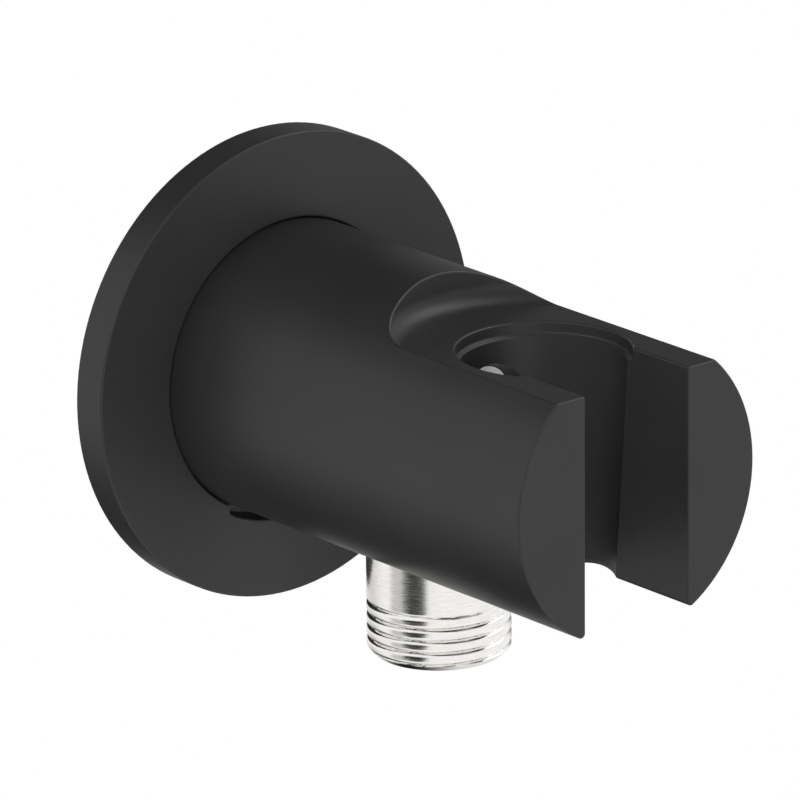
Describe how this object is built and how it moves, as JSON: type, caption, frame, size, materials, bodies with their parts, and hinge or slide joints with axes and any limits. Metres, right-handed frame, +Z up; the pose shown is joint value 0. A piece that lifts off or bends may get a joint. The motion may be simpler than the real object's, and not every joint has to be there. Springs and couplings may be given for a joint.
{
  "type": "wall outlet elbow",
  "caption": "Matt black wall outlet elbow for a shower hose, with a round wall plate, a slotted cradle for a hand shower and a threaded outlet below.",
  "frame": {"origin": "on the axis of the round body, in the plane of the wall, where the inlet thread enters the wall", "axes": "+Z is up as installed, +Y points into the wall along the inlet thread, the cradle reaches out along -Y, and +X is to the right for someone who faces the wall"},
  "size_m": [0.07, 0.0948, 0.07],
  "materials": {
    "black_coating": "matt black powder coat over a brass casting",
    "turned_brass": "turned brass",
    "bright_steel": "stainless steel",
    "nickel_plate": "brass, plated with satin nickel",
    "white_plastic": "moulded plastic",
    "blue_plastic": "moulded plastic",
    "black_rubber": "black sealing rubber",
    "fibre_washer": "red brown fibre rubber",
    "foam_rubber": "closed cell foam rubber"
  },
  "bodies": {
    "elbow": {"holder_body": "black_coating", "wall_plate": "black_coating", "wall_spindle": "turned_brass", "fixing_screw": "bright_steel", "outlet_nipple": "nickel_plate", "valve_cage": "white_plastic", "stem_guide": "white_plastic", "valve_spring": "bright_steel", "cage_ring": "black_rubber", "nipple_washer": "fibre_washer", "plate_grip_ring": "black_rubber", "inlet_washer": "fibre_washer", "rear_spindle_ring": "black_rubber", "front_spindle_ring": "black_rubber", "wall_gasket": "foam_rubber"},
    "poppet": {"valve_poppet": "blue_plastic", "poppet_seal": "black_rubber"}
  },
  "joints": [
    {"name": "valve_opening", "type": "slide", "parent": "elbow", "child": "poppet", "axis": [0, 0, -1], "range_m": [0, 0.0025], "stiffness_N_per_m": 100, "springref_m": -0.002, "deforming": ["valve_spring"]}
  ]
}
